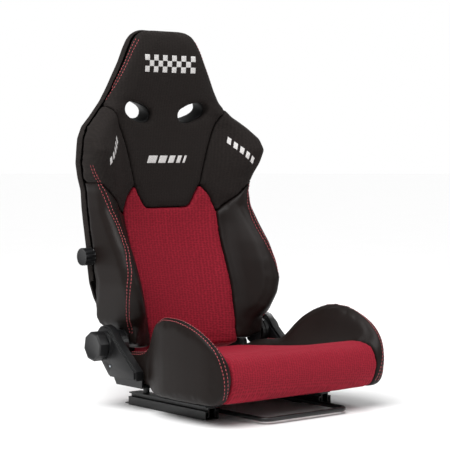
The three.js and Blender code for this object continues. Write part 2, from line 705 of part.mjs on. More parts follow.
// Lower channel: [x, z] from the rail's own centre, open at the top between two lips; the inner side
// (towards the mid-plane, at negative x here) carries the notched locking flange.
const w = RAIL.halfWidth;
const t = RAIL.wall;
const h = RAIL.lowerHeight;
const lowerProfile = [
  [-w - RAIL.rackFlange, 0], [w, 0], [w, h], [w - RAIL.lip, h], [w - RAIL.lip, h - t],
  [w - t, h - t], [w - t, t], [-w + t, t], [-w + t, h - t], [-w + RAIL.lip, h - t],
  [-w + RAIL.lip, h], [-w, h], [-w, t], [-w - RAIL.rackFlange, t],
].map(([x, z]) => [x + RAIL.x, z]);
// Upper rail: a hat that stands out of the channel, with feet under the lips and a flat top over them.
const u = w - RAIL.lip - 1.2;
const foot = w - t - 4;
const upperProfile = [
  [-w + 2, RAIL.topZ - 3], [-u, RAIL.topZ - 3], [-u, 9], [-foot, 9], [-foot, 6.5],
  [-u + t, 6.5], [-u + t, RAIL.topZ - 5.5], [u - t, RAIL.topZ - 5.5], [u - t, 6.5], [foot, 6.5],
  [foot, 9], [u, 9], [u, RAIL.topZ - 3], [w - 2, RAIL.topZ - 3], [w - 2, RAIL.topZ], [-w + 2, RAIL.topZ],
].map(([x, z]) => [x + RAIL.x, z]);
const RACK = { front: -190, rear: 10, pitch: 10, slot: 6 };
let lowerRail = prism(lowerProfile, "y", RAIL.front, RAIL.rear);
for (let y = RACK.front; y <= RACK.rear; y += RACK.pitch) {
  const x = RAIL.x - w - RAIL.rackFlange;
  lowerRail = lowerRail.subtract(
    box([x + 3, x + 9], [y - RACK.slot / 2, y + RACK.slot / 2], [-5, 10]),
  );
}
// The flange is only as long as the rack; a thin mounting ear stands out behind the channel floor.
const flangeX = [RAIL.x - w - RAIL.rackFlange - 1, RAIL.x - w - GAP];
lowerRail = lowerRail
  .subtract(box(flangeX, [RAIL.front - 1, RACK.front - 8], [-5, 10]))
  .subtract(box(flangeX, [RACK.rear + 8, RAIL.rear + 1], [-5, 10]))
  .add(box([RAIL.x - 13, RAIL.x + 13], [RAIL.rear - 6, RAIL.rear + 24], [0, t]));
const MOUNT_HOLE_Y = [RAIL.front + 30, RAIL.rear + 12];
for (const y of MOUNT_HOLE_Y) lowerRail = lowerRail.subtract(barZ(RAIL.x, y, [-5, t + 1], 4.3, 14));
let upperRail = prism(upperProfile, "y", RAIL.front, RAIL.rear);
for (const end in spacerYs) {
  upperRail = upperRail.subtract(barZ(RAIL.x, spacerYs[end], [20, 60], BOLT_R + 0.5, 12));
}
// Ball cage: a strip between the channel's side and the upper rail's foot, with a ball in each pocket.
const CAGE = { front: -170, rear: -10 };
const cageX = [foot + GAP, w - t - GAP];
let cage = box([RAIL.x + cageX[0], RAIL.x + cageX[1]], [CAGE.front, CAGE.rear], [6, 9.5]);
cage = cage.add(
  box([RAIL.x - cageX[1], RAIL.x - cageX[0]], [CAGE.front, CAGE.rear], [6, 9.5]),
).add(box([RAIL.x - cageX[1], RAIL.x + cageX[1]], [CAGE.front, CAGE.front + 10], [3, 5.6]))
  .add(box([RAIL.x - cageX[1], RAIL.x - cageX[0]], [CAGE.front, CAGE.front + 10], [3, 7]))
  .add(box([RAIL.x + cageX[0], RAIL.x + cageX[1]], [CAGE.front, CAGE.front + 10], [3, 7]));
for (const side in SIDES) {
  add(`lower_rail_${side}`, onSide(side, lowerRail), BLACK_PAINT);
  add(`upper_rail_${side}`, onSide(side, upperRail), BLACK_PAINT);
  add(`ball_cage_${side}`, onSide(side, cage), STEEL);
}

// ---------------------------------------------------------------- slider release handle

const c = HANDLE.corner;
const bend = [15, 30, 45, 60, 75].map((degrees) => {
  const angle = (degrees * Math.PI) / 180;
  return [
    HANDLE.halfWidth - c + c * Math.cos(angle),
    HANDLE.frontY + c - c * Math.sin(angle),
    HANDLE_AXIS.z,
  ];
});
const legStart = HANDLE_AXIS.y - 7.6;
const handleHalf = [
  [HANDLE.halfWidth, legStart, HANDLE_AXIS.z],
  [HANDLE.halfWidth, -240, HANDLE_AXIS.z],
  [HANDLE.halfWidth, HANDLE.frontY + c + 2, HANDLE_AXIS.z],
  ...bend,
  [HANDLE.halfWidth - c - 2, HANDLE.frontY, HANDLE_AXIS.z],
  [40, HANDLE.frontY, HANDLE_AXIS.z],
];
const handlePoints = [
  ...handleHalf,
  ...handleHalf.map(([x, y, z]) => [-x, y, z]).reverse(),
];
add("handle_bar", tube(handlePoints, HANDLE.radius, 44, 10), BLACK_PAINT);
const PIVOT_X = 144;
add("handle_shaft", barX([-PIVOT_X, PIVOT_X], HANDLE_AXIS.y, HANDLE_AXIS.z, 7, 16), BLACK_PAINT);
const pawlArm = prism(
  [[-26, -5], [-8, -5], [-8, 5], [-26, 3]].map(([y, z]) => [y + HANDLE_AXIS.y, z + HANDLE_AXIS.z]),
  "x",
  PIVOT_X - 3,
  PIVOT_X + 12,
);
const toothAt = (y) => box([PIVOT_X + 8, PIVOT_X + 12], [y - 2, y + 2], [t + 0.8, 10]);
const pawl = pawlArm.add(toothAt(-110)).add(toothAt(-102));
const handleBracket = box([136.5, 140], [-100, -80], [3, RAIL.topZ + 3])
  .add(box([136.5, 176], [-100, -80], [RAIL.topZ + GAP, RAIL.topZ + 3]))
  .subtract(barX([100, 200], HANDLE_AXIS.y, HANDLE_AXIS.z, 7.6, 16));
for (const side in SIDES) {
  add(`latch_pawl_${side}`, onSide(side, pawl), STEEL);
  add(`handle_bracket_${side}`, onSide(side, handleBracket), BLACK_PAINT);
}

// ---------------------------------------------------------------- origin under the middle

seat.updateMatrixWorld(true);
const bounds = new THREE.Box3().setFromObject(seat);
const middle = bounds.getCenter(new THREE.Vector3());
seat.position.set(-middle.x, -middle.y, -bounds.min.z);

export default seat;
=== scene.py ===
"""Looks for a reclining sport seat: padded panels, stitching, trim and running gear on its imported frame."""

import json
import math

import bmesh
import bpy
from bpy.props import FloatProperty, FloatVectorProperty, IntProperty, PointerProperty
from mathutils import Matrix, Vector
from mathutils.bvhtree import BVHTree
from mathutils.kdtree import KDTree

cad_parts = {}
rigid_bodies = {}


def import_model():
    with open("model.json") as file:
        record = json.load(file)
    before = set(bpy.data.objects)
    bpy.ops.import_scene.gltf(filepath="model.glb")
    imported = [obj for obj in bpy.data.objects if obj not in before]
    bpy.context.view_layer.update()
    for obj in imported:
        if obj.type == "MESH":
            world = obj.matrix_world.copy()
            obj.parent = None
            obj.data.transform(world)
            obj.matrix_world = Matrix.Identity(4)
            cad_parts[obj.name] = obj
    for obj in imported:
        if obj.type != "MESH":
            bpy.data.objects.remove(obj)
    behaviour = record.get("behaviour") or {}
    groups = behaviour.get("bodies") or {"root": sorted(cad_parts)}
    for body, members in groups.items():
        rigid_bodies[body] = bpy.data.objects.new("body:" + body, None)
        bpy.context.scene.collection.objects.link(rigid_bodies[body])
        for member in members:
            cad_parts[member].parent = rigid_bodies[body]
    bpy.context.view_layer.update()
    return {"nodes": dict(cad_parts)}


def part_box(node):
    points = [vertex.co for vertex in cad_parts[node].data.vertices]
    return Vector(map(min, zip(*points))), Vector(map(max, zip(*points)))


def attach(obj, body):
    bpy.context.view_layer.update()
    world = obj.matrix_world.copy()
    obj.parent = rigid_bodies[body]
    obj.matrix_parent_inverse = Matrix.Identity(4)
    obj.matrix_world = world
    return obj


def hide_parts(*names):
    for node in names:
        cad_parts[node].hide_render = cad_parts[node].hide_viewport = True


bl_info = {
    "name": "Sport seat looks",
    "version": (1, 0, 0),
    "blender": (4, 5, 0),
    "location": "3D View > Sidebar > Seat",
    "description": "Builds the cloth, stitching and trim of a reclining sport seat on its frame",
    "category": "Add Mesh",
}

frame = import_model()
SIDES = {"right": -1, "left": 1}  # the sitter's right is at -X

# The seat's own mid-plane and the point that its depths are measured from.
INSERT_LOW, INSERT_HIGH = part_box("back_insert")
MIDDLE = (INSERT_LOW.x + INSERT_HIGH.x) / 2
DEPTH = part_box("upper_rail_left")[0].y + 0.254
PIVOT_Y, PIVOT_Z = 62, 152  # the axis that the back reclines about, in the seat's millimetres


def place(x, y, z):
    """A point of the seat, in millimetres from its mid-plane, its depth datum and the floor."""
    return Vector((MIDDLE + x / 1000, DEPTH + y / 1000, z / 1000))


def on_side(points, sign):
    """Points of the sitter's left half, on the side with this sign."""
    return [place(sign * x, y, z) for x, y, z in points]


def facing(turn, lift):
    """The direction out of the seat's front, turned round it and lifted, in radians."""
    return Vector(
        (math.sin(turn) * math.cos(lift), -math.cos(turn) * math.cos(lift), math.sin(lift))
    )


# ---------------------------------------------------------------- what a user would change


class SeatStageSettings(bpy.types.PropertyGroup):
    azimuth: FloatProperty(
        name="Azimuth", description="Camera's turn round the seat", default=math.radians(-39.1), subtype="ANGLE"
    )
    elevation: FloatProperty(
        name="Elevation", description="Camera's height angle", default=math.radians(2.7), subtype="ANGLE"
    )
    distance: FloatProperty(
        name="Distance", description="From the camera to the seat's middle", default=3.98, unit="LENGTH"
    )
    lens: FloatProperty(name="Lens", description="Focal length in millimetres", default=125.7)
    aim_across: FloatProperty(
        name="Aim across", description="How far the view is moved to the right", default=0.0511, unit="LENGTH"
    )
    aim_height: FloatProperty(
        name="Aim height", description="Height of the view's middle", default=0.4436, unit="LENGTH"
    )
    glow: FloatProperty(name="Glow", description="Light from the room all round", default=0.26)
    sky: FloatProperty(name="Sky", description="Strength of the broad light from above", default=3.3)


class SeatClothSettings(bpy.types.PropertyGroup):
    insert_colour: FloatVectorProperty(
        name="Insert",
        description="Mesh cloth of the seat's middle",
        default=(0.225, 0.0085, 0.020),
        subtype="COLOR",
    )
    panel_colour: FloatVectorProperty(
        name="Panels",
        description="Mesh cloth of head, chest and wings",
        default=(0.0128, 0.0100, 0.0090),
        subtype="COLOR",
    )
    bolster_colour: FloatVectorProperty(
        name="Bolsters",
        description="Smooth cloth of the bolsters",
        default=(0.0080, 0.0052, 0.0044),
        subtype="COLOR",
    )
    thread_colour: FloatVectorProperty(
        name="Thread", description="Topstitching thread", default=(0.56, 0.07, 0.085), subtype="COLOR"
    )


class SeatPadSettings(bpy.types.PropertyGroup):
    voxel: FloatProperty(
        name="Voxel", description="Grain of the padding's mesh", default=0.0048, unit="LENGTH"
    )
    swell: FloatProperty(
        name="Swell", description="Furthest that the foam pushes its cover out", default=0.0026, unit="LENGTH"
    )
    frames: IntProperty(name="Frames", description="Length of the cloth simulation", default=14)
    stitch_pitch: FloatProperty(
        name="Stitch pitch", description="From one topstitch to the next", default=0.0085, unit="LENGTH"
    )
    stitch_row: FloatProperty(
        name="Stitch rows", description="Between the two rows of a topstitch", default=0.009, unit="LENGTH"
    )


# ---------------------------------------------------------------- modelling helpers


def pick(piece=None):
    """Leaves object mode with only this piece selected."""
    if bpy.context.object is not None and bpy.context.object.mode != "OBJECT":
        bpy.ops.object.mode_set(mode="OBJECT")
    bpy.ops.object.select_all(action="DESELECT")
    bpy.context.view_layer.objects.active = piece
    if piece is not None:
        piece.select_set(True)


def edit(piece):
    pick(piece)
    bpy.ops.object.mode_set(mode="EDIT")
    bpy.ops.mesh.select_all(action="SELECT")


def done(piece, name, angle=30):
    """Puts the piece's place into its mesh, names it and shades it smooth by angle."""
    pick(piece)
    bpy.ops.object.transform_apply(location=True, rotation=True, scale=True)
    piece.name = name
    piece.data.name = name
    if angle >= 180:
        bpy.ops.object.shade_smooth()
    else:
        bpy.ops.object.shade_smooth_by_angle(angle=math.radians(angle))
    return piece


def apply_modifier(piece, kind, **settings):
    pick(piece)
    made = piece.modifiers.new(kind, kind)
    for key, value in settings.items():
        setattr(made, key, value)
    bpy.ops.object.modifier_apply(modifier=made.name)


def choose(piece, test):
    """In edit mode, selects the faces whose middle, normal and number pass the test."""
    bpy.ops.mesh.select_mode(type="FACE")
    bpy.ops.mesh.select_all(action="DESELECT")
    mesh = bmesh.from_edit_mesh(piece.data)
    for face in mesh.faces:
        if test(face.calc_center_median(), face.normal, face.index):
            face.select = True
    mesh.select_flush(True)
    bmesh.update_edit_mesh(piece.data)


def copy_of(node, name):
    """A merged copy of a frame node's mesh, as an object of its own."""
    piece = bpy.data.objects.new(name, frame["nodes"][node].data.copy())
    piece.data.materials.clear()
    bpy.context.scene.collection.objects.link(piece)
    edit(piece)
    bpy.ops.mesh.remove_doubles(threshold=0.00002)
    bpy.ops.object.mode_set(mode="OBJECT")
    piece.data.name = name
    return piece


def join(pieces, name):
    pick(pieces[0])
    for piece in pieces:
        piece.select_set(True)
    bpy.ops.object.join()
    pieces[0].name = name
    pieces[0].data.name = name
    return pieces[0]


def finish_piece(piece, body, slot, material, *nodes):
    piece.data.materials.clear()
    piece.data.materials.append(material)
    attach(piece, body)
    if nodes:
        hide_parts(*nodes)
    return piece


def smooth_line(points, step):
    """Evenly spaced points and directions on a smooth curve through the given points."""
    count = len(points)
    fine = []
    for i in range(count - 1):
        before = points[max(i - 1, 0)]
        after = points[min(i + 2, count - 1)]
        a, b = points[i], points[i + 1]
        for k in range(24):
            t = k / 24
            fine.append(
                0.5
                * (
                    2 * a
                    + (b - before) * t
                    + (2 * before - 5 * a + 4 * b - after) * t * t
                    + (3 * a - before - 3 * b + after) * t * t * t
                )
            )
    fine.append(points[-1])
    lengths = [0.0]
    for a, b in zip(fine, fine[1:]):
        lengths.append(lengths[-1] + (b - a).length)
    total = max(1, round(lengths[-1] / step))
    line = []
    at = 0
    for k in range(total + 1):
        wanted = lengths[-1] * k / total
        while at < len(fine) - 2 and lengths[at + 1] < wanted:
            at += 1
        span = lengths[at + 1] - lengths[at] or 1
        line.append(fine[at].lerp(fine[at + 1], (wanted - lengths[at]) / span))
    return line


def surface(*pieces):
    """One search tree over the pieces' meshes."""
    vertices, faces = [], []
    for piece in pieces:
        start = len(vertices)
        vertices += [v.co.copy() for v in piece.data.vertices]
        faces += [[start + i for i in p.vertices] for p in piece.data.polygons]
    return BVHTree.FromPolygons(vertices, faces)


# ---------------------------------------------------------------- materials


def linear(hexadecimal):
    """An sRGB colour written as six hex digits, as linear values with alpha."""
    values = [int(hexadecimal[i : i + 2], 16) / 255 for i in (0, 2, 4)]
    return [v / 12.92 if v <= 0.04045 else ((v + 0.055) / 1.055) ** 2.4 for v in values] + [1.0]


def add_node(tree, kind, inputs=None, **settings):
    """Adds one shader node with its settings; an input is a value or another node's output."""
    made = tree.nodes.new(kind)
    for key, value in settings.items():
        setattr(made, key, value)
    for key, value in (inputs or {}).items():
        if isinstance(value, bpy.types.NodeSocket):
            tree.links.new(value, made.inputs[key])
        else:
            made.inputs[key].default_value = value
    return made


def begin(name, **inputs):
    """A new material: its tree, its shader with constant inputs set, and its Object coordinates."""
    material = bpy.data.materials.new(name)
    material.use_nodes = True
    tree = material.node_tree
    shader = tree.nodes["Principled BSDF"]
    for key, value in inputs.items():
        shader.inputs[key.replace("_", " ")].default_value = value
    coordinates = add_node(tree, "ShaderNodeTexCoord").outputs["Object"]
    return material, tree, shader, coordinates


def shades(colour, *factors):
    return [[min(1, c * f) for c in colour[:3]] + [1.0] for f in factors]


def mesh_cloth(name, colour, pitch, lean, opening_shade, roughness, relief, sheen):
    """Woven spacer mesh: level rows of small oval openings in a matt polyester knit, softly uneven in tone, with
    painted shade in the openings.

    The openings lie flat on a panel that leans back by this angle from upright, so that its curves
    show no rings.
    """
    material, tree, shader, at = begin(
        name, Sheen_Weight=sheen, Sheen_Roughness=0.5, IOR=1.45, Specular_IOR_Level=0.22
    )
    shader.inputs["Sheen Tint"].default_value = shades(colour, 5)[0]
    flat = add_node(
        tree,
        "ShaderNodeMapping",
        {"Vector": at, "Rotation": (math.radians(lean - 90), 0.0, math.radians(3)), "Scale": (0.45, 1.0, 1.0)},
    ).outputs[0]
    openings = add_node(
        tree,
        "ShaderNodeTexVoronoi",
        {"Vector": flat, "Scale": 1000 / pitch, "Randomness": 0.35},
        voronoi_dimensions="2D",
    ).outputs["Distance"]
    around = add_node(
        tree,
        "ShaderNodeMapRange",
        {"Value": openings, "From Min": 0.12, "From Max": 0.6, "To Min": 0.0, "To Max": 1.0},
        interpolation_type="SMOOTHSTEP",
    ).outputs[0]
    cloudy = add_node(
        tree, "ShaderNodeTexNoise", {"Vector": at, "Scale": 14.0, "Detail": 3.0, "Roughness": 0.55}
    ).outputs[0]
    fuzz = add_node(
        tree, "ShaderNodeTexNoise", {"Vector": at, "Scale": 900.0, "Detail": 2.0, "Roughness": 0.7}
    ).outputs[0]
    # The openings are painted darker than the yarn: painted shade inside them.
    dark, plain, light = shades(colour, opening_shade, 1.0, 1.28)
    yarn = add_node(
        tree, "ShaderNodeMix", {0: cloudy, 6: plain, 7: light}, data_type="RGBA"
    ).outputs[2]
    coloured = add_node(
        tree, "ShaderNodeMix", {0: around, 6: dark, 7: yarn}, data_type="RGBA"
    ).outputs[2]
    tree.links.new(coloured, shader.inputs["Base Color"])
    rough = add_node(
        tree, "ShaderNodeMapRange", {"Value": fuzz, "To Min": roughness - 0.06, "To Max": roughness + 0.06}
    ).outputs[0]
    tree.links.new(rough, shader.inputs["Roughness"])
    thread = add_node(
        tree, "ShaderNodeBump", {"Height": fuzz, "Strength": 0.35, "Distance": 0.0004}
    ).outputs[0]
    bump = add_node(
        tree, "ShaderNodeBump", {"Height": around, "Strength": relief, "Distance": 0.0008, "Normal": thread}
    ).outputs[0]
    tree.links.new(bump, shader.inputs["Normal"])
    return material


def smooth_cloth(name, colour, grain, roughness, sheen):
    """Coated microfibre: a fine close nap with a soft sheen, a little lighter where it has been stroked."""
    material, tree, shader, at = begin(
        name, Sheen_Weight=sheen, Sheen_Roughness=0.35, IOR=1.46, Specular_IOR_Level=0.17
    )
    shader.inputs["Sheen Tint"].default_value = shades(colour, 7)[0]
    nap = add_node(
        tree, "ShaderNodeTexNoise", {"Vector": at, "Scale": 1000 / grain, "Detail": 4.0, "Roughness": 0.6}
    ).outputs[0]
    stroked = add_node(
        tree,
        "ShaderNodeTexNoise",
        {"Vector": at, "Scale": 9.0, "Detail": 4.0, "Roughness": 0.6, "Distortion": 0.6},
    ).outputs[0]
    dark, light = shades(colour, 0.8, 1.35)
    coloured = add_node(
        tree, "ShaderNodeMix", {0: stroked, 6: dark, 7: light}, data_type="RGBA"
    ).outputs[2]
    tree.links.new(coloured, shader.inputs["Base Color"])
    rough = add_node(
        tree, "ShaderNodeMapRange", {"Value": stroked, "To Min": roughness - 0.07, "To Max": roughness + 0.07}
    ).outputs[0]
    tree.links.new(rough, shader.inputs["Roughness"])
    bump = add_node(
        tree, "ShaderNodeBump", {"Height": nap, "Strength": 0.4, "Distance": 0.0004}
    ).outputs[0]
    tree.links.new(bump, shader.inputs["Normal"])
    return material


def moulded_plastic(name, hexadecimal, grain, roughness):
    """Injection-moulded ABS: spark-eroded grain, satin, with slightly polished high spots."""
    material, tree, shader, at = begin(name, IOR=1.54, Specular_IOR_Level=0.35)
    pebble = add_node(
        tree, "ShaderNodeTexVoronoi", {"Vector": at, "Scale": 1000 / grain, "Randomness": 1.0}
    ).outputs["Distance"]
    wide = add_node(
        tree, "ShaderNodeTexNoise", {"Vector": at, "Scale": 25.0, "Detail": 3.0}
    ).outputs[0]
    colour = linear(hexadecimal)
    dark, light = shades(colour, 0.85, 1.2)
    coloured = add_node(
        tree, "ShaderNodeMix", {0: wide, 6: dark, 7: light}, data_type="RGBA"
    ).outputs[2]
    tree.links.new(coloured, shader.inputs["Base Color"])
    rough = add_node(
        tree, "ShaderNodeMapRange", {"Value": wide, "To Min": roughness - 0.06, "To Max": roughness + 0.08}
    ).outputs[0]
    tree.links.new(rough, shader.inputs["Roughness"])
    bump = add_node(
        tree, "ShaderNodeBump", {"Height": pebble, "Strength": 0.25, "Distance": 0.0002}
    ).outputs[0]
    tree.links.new(bump, shader.inputs["Normal"])
    return material


def metal(name, hexadecimal, roughness, metallic, spread, relief, scale):
    """A metal surface: coated, plated or turned, with patches of differing polish."""
    material, tree, shader, at = begin(name, Metallic=metallic)
    patches = add_node(
        tree, "ShaderNodeTexNoise", {"Vector": at, "Scale": 30.0, "Detail": 5.0, "Roughness": 0.6}
    ).outputs[0]
    skin = add_node(
        tree, "ShaderNodeTexNoise", {"Vector": at, "Scale": 1000 / scale, "Detail": 2.0}
    ).outputs[0]
    colour = linear(hexadecimal)
    dark, light = shades(colour, 0.82, 1.12)
    coloured = add_node(
        tree, "ShaderNodeMix", {0: patches, 6: dark, 7: light}, data_type="RGBA"
    ).outputs[2]
    tree.links.new(coloured, shader.inputs["Base Color"])
    rough = add_node(
        tree,
        "ShaderNodeMapRange",
        {
            "Value": patches,
            "From Min": 0.3,
            "From Max": 0.7,
            "To Min": roughness - spread,
            "To Max": roughness + spread,
        },
    ).outputs[0]
    tree.links.new(rough, shader.inputs["Roughness"])
    bump = add_node(
        tree, "ShaderNodeBump", {"Height": skin, "Strength": relief, "Distance": 0.0002}
    ).outputs[0]
    tree.links.new(bump, shader.inputs["Normal"])
    return material


def thread_material(name, colour, roughness, ply):
    """Twisted polyester thread: fine diagonal plies with a slight gloss, painted lighter on their crowns and
    darker between them as painted light and shade.
    """
    material, tree, shader, at = begin(name, Sheen_Weight=0.2, IOR=1.5)
    plies = add_node(
        tree, "ShaderNodeTexWave", {"Vector": at, "Scale": 1000 / ply, "Distortion": 1.5, "Detail": 1.0},
        bands_direction="DIAGONAL",
    ).outputs["Color"]
    # The plies are painted in lit and shaded bands: painted highlight on their crowns, painted shade between
    # them.
    dark, light = shades(colour, 0.7, 1.1)
    coloured = add_node(
        tree, "ShaderNodeMix", {0: plies, 6: dark, 7: light}, data_type="RGBA"
    ).outputs[2]
    tree.links.new(coloured, shader.inputs["Base Color"])
    shader.inputs["Roughness"].default_value = roughness
    bump = add_node(
        tree, "ShaderNodeBump", {"Height": plies, "Strength": 0.5, "Distance": 0.0003}
    ).outputs[0]
    tree.links.new(bump, shader.inputs["Normal"])
    return material


FINISHES = {}


def finish(name):
    """The seat's finishes by their plain names, each made once."""
    cloth = bpy.context.scene.seat_cloth
    if not FINISHES:
        # Real openings are about 1.5 mm apart. They are drawn 3 to 4.5 mm apart, or they wouldn't show at all.
        red, black, bolster = cloth.insert_colour, cloth.panel_colour, cloth.bolster_colour
        # Each mesh's openings are painted darker by the factor after its lean: painted shade inside them.
        FINISHES["red back mesh"] = mesh_cloth("red_spacer_mesh_back", red, 4.4, 0, 0.66, 0.86, 0.8, 0.3)
        FINISHES["red seat mesh"] = mesh_cloth("red_spacer_mesh_seat", red, 3.2, 45, 0.7, 0.86, 0.8, 0.3)
        FINISHES["black mesh"] = mesh_cloth("black_spacer_mesh", black, 3.8, 0, 0.8, 0.88, 0.6, 0.25)
        FINISHES["bolster cloth"] = smooth_cloth("black_microfibre", bolster, 1.4, 0.46, 0.06)
        FINISHES["plastic"] = moulded_plastic("black_moulded_abs", "111112", 1.1, 0.38)
        FINISHES["sleeve plastic"] = moulded_plastic("black_sleeve_abs", "0b0b0b", 1.3, 0.6)
        FINISHES["knob plastic"] = moulded_plastic("knob_moulded_abs", "151516", 0.9, 0.36)
        FINISHES["black paint"] = metal("black_powder_coat", "0c0c0d", 0.38, 0.0, 0.06, 0.5, 0.7)
        FINISHES["zinc"] = metal("bright_zinc_plate", "b6bcc3", 0.3, 1.0, 0.08, 0.15, 0.4)
        FINISHES["steel"] = metal("turned_steel", "8b8d90", 0.36, 1.0, 0.1, 0.2, 0.5)
        FINISHES["red thread"] = thread_material("red_polyester_thread", cloth.thread_colour, 0.55, 1.6)
        FINISHES["white thread"] = thread_material("white_embroidery_thread", linear("dcdad8"), 0.5, 1.2)
    return FINISHES[name]


# ---------------------------------------------------------------- the stage


SOFTBOXES = {
    # name: (turn from the camera in radians, lift in degrees, distance and size in metres, watts)
    "key": (-0.75, 42, 3.2, 1.6, 26),
    "side": (1.15, 30, 3.2, 1.5, 20),
    "rim": (2.7, 35, 3.0, 1.2, 22),
}
SKY_LEAN = math.radians(28)
SKY_TURN = -0.55
SKY_SPREAD = math.radians(50)
FLOOR_RADIUS = 40


class SEAT_OT_stage(bpy.types.Operator):
    """Lays a pale floor under the seat and sets up the camera and soft lights"""

    bl_idname = "seat.stage"
    bl_label = "Stage, camera and lights"

    def execute(self, context):
        settings = context.scene.seat_stage
        turn, lift = settings.azimuth, settings.elevation
        right = Vector((math.cos(turn), math.sin(turn), 0))
        aim = place(0, 0, 0) + Vector((0, 0, settings.aim_height)) + right * settings.aim_across
        pick()
        bpy.ops.object.camera_add(
            location=aim + facing(turn, lift) * settings.distance, rotation=(math.pi / 2 - lift, 0, turn)
        )
        camera = context.object
        camera.data.lens = settings.lens
        camera.data.sensor_width = 36
        context.scene.camera = camera

        pick()
        bpy.ops.mesh.primitive_circle_add(vertices=96, radius=FLOOR_RADIUS, fill_type="NGON", location=(0, 0, 0))
        floor = done(context.object, "studio_floor")
        material, tree, shader, at = begin("pale_floor", Roughness=0.7)
        mottle = add_node(tree, "ShaderNodeTexNoise", {"Vector": at, "Scale": 3.0}).outputs[0]
        pale, paler = shades(linear("f4f4f4"), 0.98, 1.0)
        tree.links.new(
            add_node(tree, "ShaderNodeMix", {0: mottle, 6: pale, 7: paler}, data_type="RGBA").outputs[2],
            shader.inputs["Base Color"],
        )
        floor.data.materials.append(material)

        world = bpy.data.worlds.new("studio")
        world.use_nodes = True
        context.scene.world = world
        tree = world.node_tree
        glow = tree.nodes["Background"]
        glow.inputs["Color"].default_value = (1, 1, 1, 1)
        glow.inputs["Strength"].default_value = settings.glow
        # The camera sees a white paper sweep. The room lights the seat less than white paper would.
        sweep = add_node(tree, "ShaderNodeBackground", {"Color": (1, 1, 1, 1), "Strength": 1.0})
        seen = add_node(tree, "ShaderNodeLightPath").outputs["Is Camera Ray"]
        both = add_node(tree, "ShaderNodeMixShader", {0: seen, 1: glow.outputs[0], 2: sweep.outputs[0]})
        tree.links.new(both.outputs[0], tree.nodes["World Output"].inputs["Surface"])
        context.scene.view_settings.view_transform = "Standard"
        pick()
        bpy.ops.object.light_add(
            type="SUN", location=(0, 0, 3), rotation=(SKY_LEAN, 0, turn + SKY_TURN)
        )
        sky = context.object
        sky.name = "sky"
        sky.data.energy = settings.sky
        sky.data.angle = SKY_SPREAD
        for name, (away, height, distance, size, power) in SOFTBOXES.items():
            self.softbox(context, name, turn + away, math.radians(height), distance, size, power)
        return {"FINISHED"}

    @staticmethod
    def softbox(context, name, turn, lift, distance, size, power):
        pick()
        bpy.ops.object.light_add(
            type="AREA",
            location=place(0, 0, 450) + facing(turn, lift) * distance,
            rotation=(math.pi / 2 - lift, 0, turn),
        )
        lamp = context.object
        lamp.name = name
        lamp.data.shape = "SQUARE"
        lamp.data.size = size
        lamp.data.energy = power


# ---------------------------------------------------------------- padded panels

PADS = {
    # frame node: (piece, body, record slot, finish, how full it is)
    "back_insert": ("back_insert_pad", "backrest", "red_cloth", "red back mesh", 0.85),
    "head_and_chest_panel": ("head_and_chest_pad", "backrest", "black_cloth", "black mesh", 0.9),
    "shoulder_wing_right": ("shoulder_wing_pad_right", "backrest", "black_cloth", "black mesh", 0.9),
    "shoulder_wing_left": ("shoulder_wing_pad_left", "backrest", "black_cloth", "black mesh", 0.9),
    "back_bolster_right": ("back_bolster_pad_right", "backrest", "black_cloth", "bolster cloth", 0.95),
    "back_bolster_left": ("back_bolster_pad_left", "backrest", "black_cloth", "bolster cloth", 0.95),
    "seat_centre_cushion": ("seat_centre_pad", "seat_base", "red_cloth", "red seat mesh", 0.85),
    "thigh_bolster_right": ("thigh_bolster_pad_right", "seat_base", "black_cloth", "bolster cloth", 0.95),
    "thigh_bolster_left": ("thigh_bolster_pad_left", "seat_base", "black_cloth", "bolster cloth", 0.95),
}

# Topstitched seams of the sitter's left half; each runs on the pads named with it.
SEAMS = {
    "back_bolster": (
        ["back_bolster_pad", "shoulder_wing_pad"],
        [
            (263, 116, 598), (247, 116, 558), (230, 100, 509), (221, 69, 451),
            (226, 24, 394), (237, -4, 335), (240, -3, 280), (232, 14, 226), (208, 30, 180),
        ],
    ),
    "thigh_bolster": (
        ["thigh_bolster_pad"],
        [
            (258, -150, 226), (266, -190, 241), (268, -251, 237), (264, -319, 217), (257, -366, 180),
            (249, -386, 128), (240, -376, 66),
        ],
    ),
    "seat_rear": (
        ["thigh_bolster_pad"],
        [(229, -60, 154), (229, -35, 147), (228, -8, 143), (226, 14, 140)],
    ),
    "head_edge": (
        ["head_and_chest_pad"],
        [(92, 160, 918), (111, 161, 886), (128, 163, 852), (149, 169, 808), (166, 176, 774), (173, 181, 758)],
    ),
}


LINE_STEP = 0.001
SEAM_DEPTH, SEAM_REACH = 0.0018, 0.0055
COVER_SEAM_DEPTH, COVER_SEAM_REACH = 0.002, 0.007
COVER_VOXEL = 0.003
TUCK = 0.0009  # how far a panel is drawn in before its foam swells
FOAM_PRESSURE = 4


def seam_points(name, side):
    return smooth_line(on_side(SEAMS[name][1], SIDES[side]), LINE_STEP)


def seam_pads(name, side):
    pads = []
    for start in SEAMS[name][0]:
        piece = bpy.data.objects.get(start) or bpy.data.objects[f"{start}_{side}"]
        pads.append(piece)
    return pads


